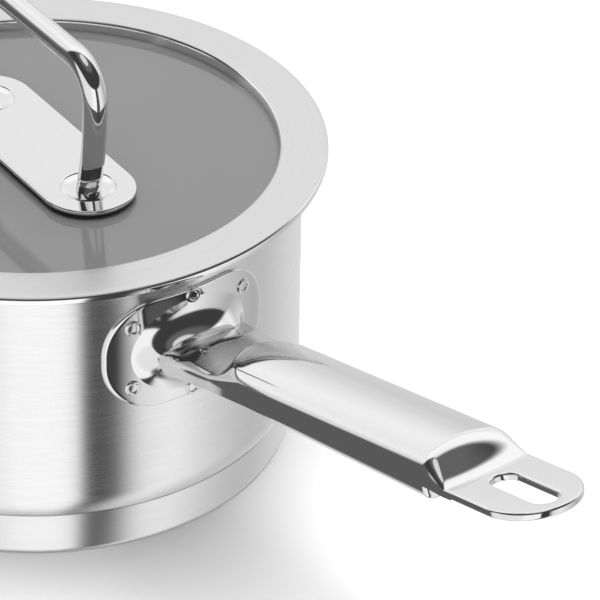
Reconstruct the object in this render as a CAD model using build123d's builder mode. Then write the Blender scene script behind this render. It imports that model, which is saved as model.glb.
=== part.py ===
from build123d import *
import math
import os

# Saucepan, 16 cm, with a glass lid.
# The pan's axis is the Z axis and its underside lies on z = 0. The handle points along +X.
# All sizes are in millimetres. Every piece that comes apart on a bench is a solid of its own.

# ---------------------------------------------------------------- driving dimensions
# pan
pan_radius = 80.0          # outside of the straight wall
pan_wall = 0.9
rim_height = 96.5          # top of the pouring rim above the underside
rim_overhang = 4.0         # how far the flared rim stands out from the wall
rim_rise = 5.8             # height over which it flares
corner_radius = 13.0       # outside radius between wall and floor

# capsule base: an aluminium core under the floor, wrapped by a steel cap
cap_height = 14.8          # where the cap's edge meets the pan
cap_step = 2.0             # how far the cap's edge stands in from the pan's wall
cap_taper = 0.9            # how far its side leans in towards the bottom
cap_skin = 0.8
cap_edge_radius = 2.0

# lid ring and glass
ring_overhang = 7.7        # how far the ring stands out from the pan's wall
ring_face_width = 14.7
ring_skin = 0.8
ring_outer_lip = 1.9       # height of the turned down outer edge
ring_bend = 1.2            # outside bend radius of both edges
glass_recess = 3.7         # from the ring's face down to the glass
glass_thickness = 4.0
glass_bevel = 0.4
skirt_skin = 0.8
skirt_flange = 3.6         # width of the skirt's flange under the ring
skirt_ledge = 6.0          # how far the skirt's ledge reaches in under the glass
gasket_thickness = 0.6

# lid handle
lid_turn = -3.5            # degrees that the lid rests turned from the pan handle's line
foot_spacing = 60.0
plate_width = 28.8
plate_thickness = 1.5
plate_lift = 1.5           # clear height under the plate
plate_edge_radius = 0.7
dish_radius = 8.1          # pressed dish around each foot
dish_floor_radius = 6.2
rod_diameter = 7.3
rod_top = 138.3            # height of the rod's centre line at the top of the arch
rod_bend = 11.0
leg_lean = 16.0            # degrees that each leg leans outwards at its foot

# lid handle fastening
seal_radius = 5.8
seal_thickness = 0.6
washer_radius = 6.5
washer_thickness = 1.0
screw_diameter = 4.0
screw_grip = 5.0           # length of thread inside the rod
screw_head_diameter = 8.0
screw_head_height = 2.6
screw_head_round = 0.8
screw_socket_radius = 1.44
screw_socket_depth = 1.6
glass_hole_diameter = 8.0

# pan handle
handle_height = 68.5       # where the handle's axis meets the bracket
handle_tilt = 13.63        # degrees above level
grip_half_width = 14.7
grip_crown = 7.7
grip_crown_rise = 1.0
grip_corner = 6.0
grip_seam = -2.0           # lower edge of the upper shell
grip_depth = -8.2          # underside of the lower shell
neck_half_width = 15.8
neck_crown = 8.6
neck_dip = 4.6             # crown of the neck where the grip begins
neck_seam = -4.8
neck_root = -2.0           # the neck's form starts behind the bracket's face
neck_overlap = 3.0         # and runs this far on under the grip
grip_start = 33.0
grip_end = 133.5
step_end = 139.0
step_corner = 1.1
step_crown_rise = 0.1
tab_end = 171.3
tab_thickness = 2.5
shell_wall = 1.5
lower_wall = 1.2
lower_corner = 4.0
lower_tuck = 1.5           # how far its walls rise past the seam
hang_slot_length = 24.0
hang_slot_width = 8.5
hang_slot_centre = 154.9

# handle bracket
bracket_width = 57.6
bracket_height = 38.6
bracket_corner = 17.0
bracket_skin = 1.0
dome_half_width = 20.5
dome_half_height = 15.7
dome_neck_half_width = 13.0
dome_neck_half_height = 6.2
dome_foot_spread = 2.0     # how much wider its form is inside the wall
dome_reach = 13.0          # from the wall to the end of the dome's neck
dome_flare = {0.0: 1.0, 0.3: 0.55, 0.6: 0.16, 1.0: 0.0}  # along the reach: share of the foot's extra size
weld_radius = 1.75         # of each dimple's mouth
weld_depth = 0.5
weld_spots = [(0, 17.1), (0, -17.1), (20, 11.3), (-20, 11.3), (20, -10.5), (-20, -10.5)]

# clearances
cut_margin = 1.0           # how far a cutting form runs past the face that it opens
lid_seat_gap = 0.3         # between the resting ring and the rim
lid_fit = 1.5              # between the skirt and the inside of the pan
shell_fit = 0.1            # between the tucked lower shell and the upper one
screw_fit = 0.1            # around the screw in the plate, the washers and the sleeve

# ---------------------------------------------------------------- what follows from them
cap_top_radius = pan_radius - cap_step
cap_bottom_radius = cap_top_radius - cap_taper
floor_centre = pan_radius - corner_radius
corner_drop = math.sqrt(corner_radius**2 - (cap_top_radius - floor_centre) ** 2)
corner_height = cap_height + corner_drop             # height of the corner's centre
floor_height = corner_height - corner_radius         # outside of the floor
flare_turn = 2 * math.degrees(math.atan2(rim_overhang, rim_rise))
flare_radius = rim_overhang / (1 - math.cos(math.radians(flare_turn)))
flare_height = rim_height - rim_rise - pan_wall * math.sin(math.radians(flare_turn))

ring_radius = pan_radius + ring_overhang
ring_inner_radius = ring_radius - ring_face_width
ring_under = rim_height + lid_seat_gap
ring_top = ring_under + ring_skin
glass_top = ring_top - glass_recess
glass_bottom = glass_top - glass_thickness
skirt_radius = pan_radius - pan_wall - lid_fit
glass_radius = skirt_radius - skirt_skin - gasket_thickness
ledge_height = glass_bottom - gasket_thickness - skirt_skin

plate_bottom = glass_top + plate_lift
plate_top = plate_bottom + plate_thickness
foot_height = glass_top + seal_thickness + plate_thickness
washer_height = glass_bottom - seal_thickness - washer_thickness
half_spacing = foot_spacing / 2

turn = math.radians(lid_turn)
lid_frame = Plane(origin=(0, 0, 0), x_dir=(math.cos(turn), math.sin(turn), 0), z_dir=(0, 0, 1))
arch_plane = Plane(
    origin=(0, 0, 0),
    x_dir=(math.cos(turn), math.sin(turn), 0),
    z_dir=(math.sin(turn), -math.cos(turn), 0),
)
foot_places = {"front": (half_spacing, 0), "rear": (-half_spacing, 0)}

lower_half_width = grip_half_width - shell_wall - shell_fit
lower_neck_half_width = neck_half_width - shell_wall - shell_fit

dome_foot = dome_half_width + dome_foot_spread
dome_root = math.sqrt(pan_radius**2 - dome_foot**2) - pan_radius - cut_margin
weld_ball_radius = (weld_radius**2 + weld_depth**2) / (2 * weld_depth)
weld_ball_place = pan_radius + bracket_skin - weld_depth + weld_ball_radius

tilt = math.radians(handle_tilt)
handle_frame = Plane(
    origin=(pan_radius + bracket_skin, 0, handle_height),
    x_dir=(math.cos(tilt), 0, math.sin(tilt)),
    z_dir=(-math.sin(tilt), 0, math.cos(tilt)),
)


def lid_level(height):
    """A level plane at this height, turned with the lid."""
    return lid_frame.offset(height)


def across(distance):
    """The plane square to the handle, this far along it from the bracket."""
    return Plane(
        origin=handle_frame.from_local_coords((distance, 0, 0)),
        x_dir=(0, 1, 0),
        z_dir=handle_frame.x_dir,
    )


def bracket_plane(distance):
    """An upright plane facing along +X, this far out from the pan's wall."""
    return Plane(origin=(pan_radius + distance, 0, handle_height), x_dir=(0, 1, 0), z_dir=(1, 0, 0))


def arched_face(half_width, bottom, corner, crown, crown_rise=grip_crown_rise):
    """The face of a handle section: upright sides, round shoulders and a crowned top."""
    with BuildLine() as outline:
        side = half_width - corner
        shoulder = crown - crown_rise - corner
        left = Line((-half_width, bottom), (-half_width, shoulder))
        bend = RadiusArc(left @ 1, (-side, shoulder + corner), corner)
        top = ThreePointArc(bend @ 1, (0, crown), (side, shoulder + corner))
        drop = RadiusArc(top @ 1, (half_width, shoulder), corner)
        right = Line(drop @ 1, (half_width, bottom))
        Line(right @ 1, left @ 0)
    make_face(outline.edges())


def trough_face(half_width, top, inset):
    """The face of a handle section: an upright sided trough with a rounded bottom."""
    bottom = grip_depth + inset
    corner = lower_corner - inset
    with BuildLine() as outline:
        rim = Line((half_width, top), (-half_width, top))
        left = Line(rim @ 1, (-half_width, bottom + corner))
        bend = RadiusArc(left @ 1, (-half_width + corner, bottom), -corner)
        keel = Line(bend @ 1, (half_width - corner, bottom))
        rise = RadiusArc(keel @ 1, (half_width, bottom + corner), -corner)
        Line(rise @ 1, rim @ 0)
    make_face(outline.edges())


def save(piece, name):
    """Label a finished piece and write it as its own file."""
    piece.part.label = name
    export_step(piece.part, f"parts/{name}.step")


os.makedirs("parts", exist_ok=True)

# ---------------------------------------------------------------- pan body
# One drawn sheet: floor, round corner, straight wall and flared pouring rim.
with BuildPart() as pan_body:
    with BuildSketch(Plane.XZ):
        with BuildLine():
            floor = Line((0, floor_height), (floor_centre, floor_height))
            corner = JernArc(floor @ 1, (1, 0), corner_radius, 90)
            wall = Line(corner @ 1, (pan_radius, flare_height))
            JernArc(wall @ 1, (0, 1), flare_radius, -flare_turn)
            offset(amount=pan_wall, side=Side.LEFT)
        make_face()
    revolve(axis=Axis.Z)
save(pan_body, "pan_body")

# ---------------------------------------------------------------- capsule base
# A thin steel cup that rises round the pan's corner.
with BuildPart() as base_cap:
    with BuildSketch(Plane.XZ):
        with BuildLine():
            bottom = Line((0, 0), (cap_bottom_radius, 0))
            side = Line(bottom @ 1, (cap_top_radius, cap_height))
            fillet(bottom.vertices().sort_by(Axis.X)[-1:], cap_edge_radius)
            offset(amount=cap_skin, side=Side.LEFT)
        make_face()
    revolve(axis=Axis.Z)
    with BuildSketch(Plane.XZ):
        with BuildLine():
            floor = Line((0, floor_height), (floor_centre, floor_height))
            corner = JernArc(floor @ 1, (1, 0), corner_radius, 90)
            roof = Line(corner @ 1, (0, corner_height))
            Line(roof @ 1, floor @ 0)
        make_face()
    revolve(axis=Axis.Z, mode=Mode.SUBTRACT)
save(base_cap, "base_cap")

# The aluminium core fills the cup up to the pan's floor and corner.
with BuildPart() as base_core:
    with BuildSketch(Plane.XZ):
        with BuildLine():
            bottom = Line((0, cap_skin), (cap_bottom_radius - cap_skin, cap_skin))
            side = Line(bottom @ 1, (cap_top_radius - cap_skin, cap_height))
            roof = Line(side @ 1, (0, cap_height))
            Line(roof @ 1, bottom @ 0)
        make_face()
    revolve(axis=Axis.Z)
    with BuildSketch(Plane.XZ):
        with BuildLine():
            floor = Line((0, floor_height), (floor_centre, floor_height))
            corner = JernArc(floor @ 1, (1, 0), corner_radius, 90)
            roof = Line(corner @ 1, (0, corner_height))
            Line(roof @ 1, floor @ 0)
        make_face()
    revolve(axis=Axis.Z, mode=Mode.SUBTRACT)
    add(base_cap.part, mode=Mode.SUBTRACT)
save(base_core, "base_core")

# ---------------------------------------------------------------- handle bracket
# The outer form of the dome: a round-ended flare from the wall out to a short neck.
with BuildPart() as dome_form:
    with BuildSketch(bracket_plane(dome_root)):
        Ellipse(dome_foot, dome_half_height + dome_foot_spread)
    for place, share in dome_flare.items():
        with BuildSketch(bracket_plane(bracket_skin + place * (dome_reach - bracket_skin))):
            Ellipse(
                dome_neck_half_width + share * (dome_half_width - dome_neck_half_width),
                dome_neck_half_height + share * (dome_half_height - dome_neck_half_height),
            )
    loft()

# A plate curved to the wall, with the dome drawn out of its middle and six weld dimples.
with BuildPart() as handle_bracket:
    with BuildSketch(bracket_plane(-pan_radius / 2)):
        RectangleRounded(bracket_width, bracket_height, bracket_corner)
    extrude(amount=pan_radius)
    with BuildSketch():
        Circle(pan_radius + bracket_skin)
    extrude(amount=rim_height, mode=Mode.INTERSECT)
    add(dome_form.part)
    for across_plate, up_plate in weld_spots:
        spot_turn = math.degrees(across_plate / (pan_radius + bracket_skin))
        spot_plane = Plane.XY.rotated((0, 0, spot_turn)).offset(handle_height + up_plate)
        with Locations(spot_plane.from_local_coords((weld_ball_place, 0, 0))):
            Sphere(weld_ball_radius, mode=Mode.SUBTRACT)
    with BuildSketch():
        Circle(pan_radius)
    extrude(amount=rim_height, mode=Mode.SUBTRACT)
save(handle_bracket, "handle_bracket")

# ---------------------------------------------------------------- handle, upper shell
# A pressed channel: neck, crowned grip, a short slope down to the flat hanging tab.
with BuildPart() as handle_upper_shell:
    neck_corner = neck_crown - grip_crown_rise
    dip_corner = neck_dip - grip_crown_rise
    with BuildSketch(across(neck_root)):
        arched_face(neck_half_width, neck_seam, neck_corner, neck_crown)
    with BuildSketch(across(grip_start + neck_overlap)):
        arched_face(grip_half_width, grip_seam, dip_corner, neck_dip)
    loft()
    with BuildSketch(across(grip_start)):
        arched_face(grip_half_width, grip_seam, grip_corner, grip_crown)
    extrude(amount=grip_end - grip_start)
    with BuildSketch(across(grip_end)):
        arched_face(grip_half_width, -tab_thickness, grip_corner, grip_crown)
    with BuildSketch(across(step_end)):
        arched_face(grip_half_width, -tab_thickness, step_corner, 0, step_crown_rise)
    loft()
    with BuildSketch(handle_frame.offset(-tab_thickness)):
        tab_straight = tab_end - grip_half_width - step_end
        with Locations((step_end + tab_straight / 2, 0)):
            Rectangle(tab_straight, 2 * grip_half_width)
        with Locations((step_end + tab_straight, 0)):
            Circle(grip_half_width)
    extrude(amount=tab_thickness)
    with BuildSketch(handle_frame.offset(-2 * tab_thickness)):
        with Locations((hang_slot_centre, 0)):
            SlotOverall(hang_slot_length, hang_slot_width)
    extrude(amount=4 * tab_thickness, mode=Mode.SUBTRACT)
    # the hollow under the neck and the grip
    inner_half = grip_half_width - shell_wall
    with BuildSketch(across(neck_root)):
        arched_face(
            neck_half_width - shell_wall, neck_seam - cut_margin,
            neck_corner - shell_wall, neck_crown - shell_wall,
        )
    with BuildSketch(across(grip_start + neck_overlap)):
        arched_face(inner_half, grip_seam - cut_margin, dip_corner - shell_wall, neck_dip - shell_wall)
    loft(mode=Mode.SUBTRACT)
    with BuildSketch(across(grip_start + shell_wall)):
        arched_face(inner_half, grip_seam - cut_margin, grip_corner - shell_wall, grip_crown - shell_wall)
    extrude(amount=grip_end - grip_start - shell_wall, mode=Mode.SUBTRACT)
    add(dome_form.part, mode=Mode.SUBTRACT)
    with BuildSketch():
        Circle(pan_radius + bracket_skin)
    extrude(amount=rim_height, mode=Mode.SUBTRACT)
save(handle_upper_shell, "handle_upper_shell")

# ---------------------------------------------------------------- handle, lower shell
# A narrower trough whose walls tuck inside the upper shell, closed at its far end.
with BuildPart() as handle_lower_shell:
    seam_top = grip_seam + lower_tuck
    with BuildSketch(across(neck_root)):
        trough_face(lower_neck_half_width, neck_seam + lower_tuck, 0)
    with BuildSketch(across(grip_start)):
        trough_face(lower_half_width, seam_top, 0)
    loft()
    with BuildSketch(across(grip_start)):
        trough_face(lower_half_width, seam_top, 0)
    extrude(amount=grip_end - grip_start)
    # the hollow
    with BuildSketch(across(neck_root)):
        trough_face(lower_neck_half_width - lower_wall, 0, lower_wall)
    with BuildSketch(across(grip_start)):
        trough_face(lower_half_width - lower_wall, 0, lower_wall)
    loft(mode=Mode.SUBTRACT)
    with BuildSketch(across(grip_start)):
        trough_face(lower_half_width - lower_wall, 0, lower_wall)
    extrude(amount=grip_end - grip_start - lower_wall, mode=Mode.SUBTRACT)
    add(dome_form.part, mode=Mode.SUBTRACT)
    with BuildSketch():
        Circle(pan_radius + bracket_skin)
    extrude(amount=rim_height, mode=Mode.SUBTRACT)
save(handle_lower_shell, "handle_lower_shell")

# ---------------------------------------------------------------- lid ring
# A wide flat ring with its outer edge turned down and its inner edge drawn down to the glass.
with BuildPart() as lid_ring:
    with BuildSketch(Plane.XZ):
        with BuildLine():
            face_radius = ring_inner_radius + ring_bend
            outer_lip = Line((ring_radius, ring_top - ring_outer_lip), (ring_radius, ring_top - ring_bend))
            outer_bend = JernArc(outer_lip @ 1, (0, 1), ring_bend, 90)
            face = Line(outer_bend @ 1, (face_radius, ring_top))
            inner_bend = JernArc(face @ 1, (-1, 0), ring_bend, 90)
            Line(inner_bend @ 1, (ring_inner_radius, glass_top))
            offset(amount=ring_skin, side=Side.LEFT)
        make_face()
    revolve(axis=Axis.Z)
save(lid_ring, "lid_ring")

# The skirt hangs from the ring, centres the lid in the pan and carries the glass on a ledge.
with BuildPart() as lid_skirt:
    with BuildSketch(Plane.XZ):
        with BuildLine():
            flange = Line((skirt_radius + skirt_flange, ring_under), (skirt_radius, ring_under))
            wall = Line(flange @ 1, (skirt_radius, ledge_height))
            Line(wall @ 1, (skirt_radius - skirt_ledge, ledge_height))
            offset(amount=skirt_skin, side=Side.LEFT, kind=Kind.INTERSECTION)
        make_face()
    revolve(axis=Axis.Z)
save(lid_skirt, "lid_skirt")

# ---------------------------------------------------------------- glass and its gasket
# A flat tempered disc with ground edges and two holes for the handle's screws.
with BuildPart() as lid_glass:
    with BuildSketch(lid_level(glass_bottom)):
        Circle(glass_radius)
        with Locations(*foot_places.values()):
            Circle(glass_hole_diameter / 2, mode=Mode.SUBTRACT)
    extrude(amount=glass_thickness)
    chamfer(lid_glass.edges().filter_by(GeomType.CIRCLE).sort_by(SortBy.RADIUS)[-2:], glass_bevel)
save(lid_glass, "lid_glass")

# An angle of silicone between the glass and the skirt's ledge.
with BuildPart() as lid_gasket:
    with BuildSketch(Plane.XY.offset(ledge_height + skirt_skin)):
        Circle(glass_radius + gasket_thickness)
        Circle(skirt_radius - skirt_ledge, mode=Mode.SUBTRACT)
    extrude(amount=glass_top - ledge_height - skirt_skin)
    with BuildSketch(Plane.XY.offset(glass_bottom)):
        Circle(glass_radius)
    extrude(amount=glass_thickness, mode=Mode.SUBTRACT)
save(lid_gasket, "lid_gasket")

# ---------------------------------------------------------------- lid handle
# A pressed plate with round ends and a dish around each foot, which stands on the glass.
with BuildPart() as lid_handle_plate:
    with BuildSketch(lid_level(plate_bottom)):
        SlotCenterToCenter(foot_spacing, plate_width)
    extrude(amount=plate_thickness)
    fillet(lid_handle_plate.faces().sort_by(Axis.Z)[-1].edges(), plate_edge_radius)
    for foot in foot_places.values():
        centre = lid_frame.from_local_coords((*foot, 0))
        for lift, mode in ((0, Mode.ADD), (plate_thickness, Mode.SUBTRACT)):
            dish_floor = glass_top + seal_thickness + lift
            dish_top = plate_bottom + lift
            with BuildSketch(Plane.XY.offset(dish_floor)):
                with Locations((centre.X, centre.Y)):
                    Circle(dish_floor_radius)
            with BuildSketch(Plane.XY.offset(dish_top)):
                with Locations((centre.X, centre.Y)):
                    Circle(dish_radius)
            loft(mode=mode)
        with BuildSketch(Plane.XY.offset(dish_floor)):
            with Locations((centre.X, centre.Y)):
                Circle(screw_diameter / 2 + screw_fit)
        extrude(amount=plate_thickness, both=True, mode=Mode.SUBTRACT)
save(lid_handle_plate, "lid_handle_plate")

# A round rod bent to an arch, its legs leaning outwards, cut level at both feet and tapped.
with BuildPart() as lid_handle_rod:
    lean = math.radians(leg_lean)
    leg_height = rod_top - rod_bend - foot_height
    leg_radius = leg_height / math.sin(lean)
    with BuildLine(arch_plane) as arch:
        root = Line(
            (half_spacing - rod_diameter * math.sin(lean), foot_height - rod_diameter * math.cos(lean)),
            (half_spacing, foot_height),
        )
        leg = JernArc(root @ 1, (math.sin(lean), math.cos(lean)), leg_radius, leg_lean)
        bend = JernArc(leg @ 1, (0, 1), rod_bend, 90)
        Line(bend @ 1, (0, rod_top))
        mirror(about=Plane(arch_plane.origin, x_dir=arch_plane.y_dir, z_dir=arch_plane.x_dir))
    with BuildSketch(Plane(arch.edges().sort_by(Axis.Z)[0] @ 0, z_dir=root % 0)):
        Circle(rod_diameter / 2)
    sweep(path=arch.wires()[0])
    split(bisect_by=Plane.XY.offset(foot_height), keep=Keep.TOP)
    with BuildSketch(lid_level(foot_height)):
        with Locations(*foot_places.values()):
            Circle(screw_diameter / 2)
    extrude(amount=screw_grip, mode=Mode.SUBTRACT)
save(lid_handle_rod, "lid_handle_rod")

# ---------------------------------------------------------------- lid handle fastening
# At each foot: a silicone seal above the glass, a sleeved seal below it, a washer and a screw.
for side, foot in foot_places.items():
    with BuildPart() as upper_seal:
        with BuildSketch(lid_level(glass_top)):
            with Locations(foot):
                Circle(seal_radius)
                Circle(screw_diameter / 2 + screw_fit, mode=Mode.SUBTRACT)
        extrude(amount=seal_thickness)
    save(upper_seal, f"lid_seal_upper_{side}")

    with BuildPart() as lower_seal:
        with BuildSketch(lid_level(glass_bottom - seal_thickness)):
            with Locations(foot):
                Circle(washer_radius)
        extrude(amount=seal_thickness)
        with BuildSketch(lid_level(glass_bottom)):
            with Locations(foot):
                Circle(glass_hole_diameter / 2)
        extrude(amount=glass_thickness)
        with BuildSketch(lid_level(glass_bottom - seal_thickness)):
            with Locations(foot):
                Circle(screw_diameter / 2 + screw_fit)
        extrude(amount=glass_thickness + seal_thickness, mode=Mode.SUBTRACT)
    save(lower_seal, f"lid_seal_lower_{side}")

    with BuildPart() as washer:
        with BuildSketch(lid_level(washer_height)):
            with Locations(foot):
                Circle(washer_radius)
                Circle(screw_diameter / 2 + screw_fit, mode=Mode.SUBTRACT)
        extrude(amount=washer_thickness)
    save(washer, f"lid_washer_{side}")

    with BuildPart() as screw:
        with BuildSketch(lid_level(washer_height - screw_head_height)):
            with Locations(foot):
                Circle(screw_head_diameter / 2)
        extrude(amount=screw_head_height)
        fillet(screw.edges().sort_by(Axis.Z)[0], screw_head_round)
        with BuildSketch(lid_level(washer_height)):
            with Locations(foot):
                Circle(screw_diameter / 2)
        extrude(amount=foot_height + screw_grip - washer_height)
        with BuildSketch(lid_level(washer_height - screw_head_height)):
            with Locations(foot):
                RegularPolygon(screw_socket_radius, 6)
        extrude(amount=screw_socket_depth, mode=Mode.SUBTRACT)
    save(screw, f"lid_screw_{side}")
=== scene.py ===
# %% [markdown]
# # A saucepan with a glass lid
#
# The engineering model of the pan is already made. It comes in as a fixed frame, in metres,
# with its underside on z = 0 and its handle along +X. This lesson gives that model its looks:
# a studio to stand in, steel in several finishes, tinted glass and silicone, and finer meshes
# for the parts whose shape carries the highlights.

# %% Load the frame
import math

import bmesh
import bpy
from mathutils import Matrix, Vector


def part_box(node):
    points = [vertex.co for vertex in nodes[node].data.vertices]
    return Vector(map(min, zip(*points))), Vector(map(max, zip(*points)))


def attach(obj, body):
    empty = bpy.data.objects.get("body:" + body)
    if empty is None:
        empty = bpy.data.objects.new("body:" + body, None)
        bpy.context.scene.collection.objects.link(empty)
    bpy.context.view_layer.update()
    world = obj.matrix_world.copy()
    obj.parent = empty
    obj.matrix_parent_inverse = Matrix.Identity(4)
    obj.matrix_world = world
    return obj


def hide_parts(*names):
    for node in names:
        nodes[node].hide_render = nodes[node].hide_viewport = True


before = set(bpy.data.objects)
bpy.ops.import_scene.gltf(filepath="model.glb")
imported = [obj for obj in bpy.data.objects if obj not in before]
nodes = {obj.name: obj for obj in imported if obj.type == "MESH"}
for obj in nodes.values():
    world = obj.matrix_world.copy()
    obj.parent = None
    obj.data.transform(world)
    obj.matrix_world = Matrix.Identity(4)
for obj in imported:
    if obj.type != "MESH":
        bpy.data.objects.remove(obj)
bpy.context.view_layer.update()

MM = 0.001
print("nodes:", len(nodes))

# %% [markdown]
# ## The camera
#
# A product picture like this one is taken from well back with a long lens, so the pan hardly
# tapers. The camera stands 33 degrees above the table, off to the handle's right, and looks a
# little past the pan's axis, which puts the pan to the left of the frame.

# %% Camera
CAMERA_DISTANCE = 1.34003
CAMERA_HEIGHT = math.radians(33.05)
CAMERA_AROUND = math.radians(56.76)
AIM_HEIGHT = 0.045
AIM_YAW = -0.0713       # radians, as are the two below
AIM_PITCH = 0.003
CAMERA_ROLL = 0.022
SENSOR_WIDTH = 36.0
LENS = 261.57
FARTHEST_SEEN = 20.0

reach = CAMERA_DISTANCE * math.cos(CAMERA_HEIGHT)
camera_place = Vector((
    reach * math.sin(CAMERA_AROUND),
    -reach * math.cos(CAMERA_AROUND),
    AIM_HEIGHT + CAMERA_DISTANCE * math.sin(CAMERA_HEIGHT),
))
pitch = CAMERA_HEIGHT + AIM_PITCH
heading = CAMERA_AROUND + AIM_YAW
forward = Vector((
    -math.sin(heading) * math.cos(pitch),
    math.cos(heading) * math.cos(pitch),
    -math.sin(pitch),
))
level_right = forward.cross(Vector((0, 0, 1))).normalized()
level_up = level_right.cross(forward)
right = math.cos(CAMERA_ROLL) * level_right + math.sin(CAMERA_ROLL) * level_up
up = math.cos(CAMERA_ROLL) * level_up - math.sin(CAMERA_ROLL) * level_right

camera_data = bpy.data.cameras.new("camera")
camera_data.lens = LENS
camera_data.sensor_width = SENSOR_WIDTH
camera_data.clip_end = FARTHEST_SEEN
camera = bpy.data.objects.new("camera", camera_data)
camera.matrix_world = Matrix((
    (right.x, up.x, -forward.x, camera_place.x),
    (right.y, up.y, -forward.y, camera_place.y),
    (right.z, up.z, -forward.z, camera_place.z),
    (0, 0, 0, 1),
))
bpy.context.scene.collection.objects.link(camera)
bpy.context.scene.camera = camera
print("camera at", [round(v, 3) for v in camera_place])

# %% [markdown]
# ## Small helpers for shaders
#
# Every finish below is a tree of shader nodes. These helpers add a node, wire it up and hand
# back the socket that comes out, so that a finish reads like a recipe. A mirror shows the
# world as it is, so colours go to the screen unchanged, with the Standard view transform.

# %% Shader helpers
bpy.context.scene.view_settings.view_transform = "Standard"


def plain(value, alpha=1.0):
    """An even grey as a colour socket wants it."""
    return (value, value, value, alpha)


def add_node(tree, kind, **inputs):
    """Add a node and set its named inputs."""
    node = tree.nodes.new(kind)
    for name, value in inputs.items():
        node.inputs[name.replace("_", " ")].default_value = value
    return node


def math_node(tree, operation, *values):
    """A math node whose inputs are sockets or numbers. Returns its output."""
    node = tree.nodes.new("ShaderNodeMath")
    node.operation = operation
    for socket, value in zip(node.inputs, values):
        if isinstance(value, bpy.types.NodeSocket):
            tree.links.new(value, socket)
        else:
            socket.default_value = value
    return node.outputs[0]


def ramp_node(tree, factor, stops):
    """A ramp of greys from 0 to 1: stops are (place, value)."""
    node = tree.nodes.new("ShaderNodeValToRGB")
    elements = node.color_ramp.elements
    while len(elements) < len(stops):
        elements.new(0.5)
    for element, (place, value) in zip(elements, stops):
        element.position = place
        element.color = plain(value)
    tree.links.new(factor, node.inputs[0])
    return node.outputs[0]


def vary(tree, factor, low, high, smooth_from=None, smooth_to=None):
    """Turn a factor into a range, straight from 0 to 1 or smoothly between two values."""
    node = add_node(tree, "ShaderNodeMapRange", To_Min=low, To_Max=high)
    if smooth_from is not None:
        node.interpolation_type = "SMOOTHSTEP"
        node.inputs["From Min"].default_value = smooth_from
        node.inputs["From Max"].default_value = smooth_to
    tree.links.new(factor, node.inputs["Value"])
    return node.outputs[0]


def mix_greys(tree, factor, first, second):
    """Mix two greys, each a socket or a number."""
    difference = math_node(tree, "SUBTRACT", second, first)
    return math_node(tree, "MULTIPLY_ADD", difference, factor, first)


# %% [markdown]
# ## The tent of light
#
# Polished steel has no colour of its own, so the studio is the paint. A white cloth hangs
# behind the pan, and the room above the camera is dark but for a lamp overhead: flat tops look
# white, and every round shoulder gets a dark line. Low down comes the table's white sweep, with
# a narrow black flag to the right of the camera and a wide one to the left of the background.
# The narrow flag draws the dark band down the wall, and the wide one draws the dark stripe
# along the handle.
# The tent is a world shader: one ramp runs round the horizon for what stands low, one runs
# from the horizon to straight up for the cloth, and a mask parts the cloth from the room.

# %% The tent of light
def rise_of(degrees):
    """How high a direction points, from 0 at the horizon to 1 straight up."""
    return math.sin(math.radians(degrees))


CLOTH_EDGE_LOW = rise_of(3.5)
CLOTH_EDGE_HIGH = rise_of(9.0)
ROOM_EDGE_LOW = rise_of(15.0)
ROOM_EDGE_HIGH = rise_of(20.0)
ROOM_DARK = 0.06
CEILING_LIGHT = 0.17
CEILING_EDGE_LOW = rise_of(50.0)
CEILING_EDGE_HIGH = rise_of(63.0)
BEHIND_FULL, BEHIND_NONE = -0.40, -0.28     # how far away from the camera the cloth hangs
LAMP_LIGHT = 0.95       # a lamp straight overhead
LAMP_EDGE_LOW = rise_of(70.0)
LAMP_EDGE_HIGH = rise_of(76.0)
FLAG_FOOT_LOW = rise_of(-60.0)
FLAG_FOOT_HIGH = rise_of(-42.0)
FLAG_FOOT_LIGHT = 0.75
UNDER_LOW = rise_of(-88.0)
UNDER_HIGH = rise_of(-75.0)
UNDER_SHARE = 0.15
BLACK_FLAG = 0.06
low_lights = [      # degrees round from the camera, to its right, and how bright
    (-180, 0.82), (-139, 0.82), (-129, 0.14), (-91, 0.14), (-83, 1.05), (-22, 1.10), (-12, 1.28),
    (15.5, 1.28), (18.5, BLACK_FLAG), (33, BLACK_FLAG), (42, 0.95), (58, 1.18), (80, 0.85),
    (104, 0.58), (122, 0.72), (140, 0.85), (180, 0.82),
]
cloth_lights = [    # degrees up from the horizon, and how bright
    (0, 0.88), (10, 0.92), (20, 1.22), (34, 1.10), (45, 1.35), (60, 1.30), (90, 1.0),
]
BRIGHTEST = 2.0     # ramps hold 0 to 1, so lights are stored as a share of this

world = bpy.data.worlds.new("tent")
bpy.context.scene.world = world
world.use_nodes = True
tent = world.node_tree
tent.nodes.clear()
direction = tent.nodes.new("ShaderNodeTexCoord").outputs["Generated"]
parts = tent.nodes.new("ShaderNodeSeparateXYZ")
tent.links.new(direction, parts.inputs[0])

# Round the horizon: 0 and 1 are behind the pan, 0.5 is the camera.
ahead_x = math.sin(CAMERA_AROUND)
ahead_y = -math.cos(CAMERA_AROUND)
towards = math_node(tent, "ADD",
                    math_node(tent, "MULTIPLY", parts.outputs["X"], ahead_x),
                    math_node(tent, "MULTIPLY", parts.outputs["Y"], ahead_y))
aside = math_node(tent, "SUBTRACT",
                  math_node(tent, "MULTIPLY", parts.outputs["Y"], ahead_x),
                  math_node(tent, "MULTIPLY", parts.outputs["X"], ahead_y))
turn = math_node(tent, "ARCTAN2", aside, towards)
around = math_node(tent, "MULTIPLY_ADD", turn, 0.5 / math.pi, 0.5)
low = ramp_node(tent, around, [(0.5 + a / 360, v / BRIGHTEST) for a, v in low_lights])
cloth = ramp_node(tent, parts.outputs["Z"],
                  [(rise_of(a), v / BRIGHTEST) for a, v in cloth_lights])
rise = parts.outputs["Z"]

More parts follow.
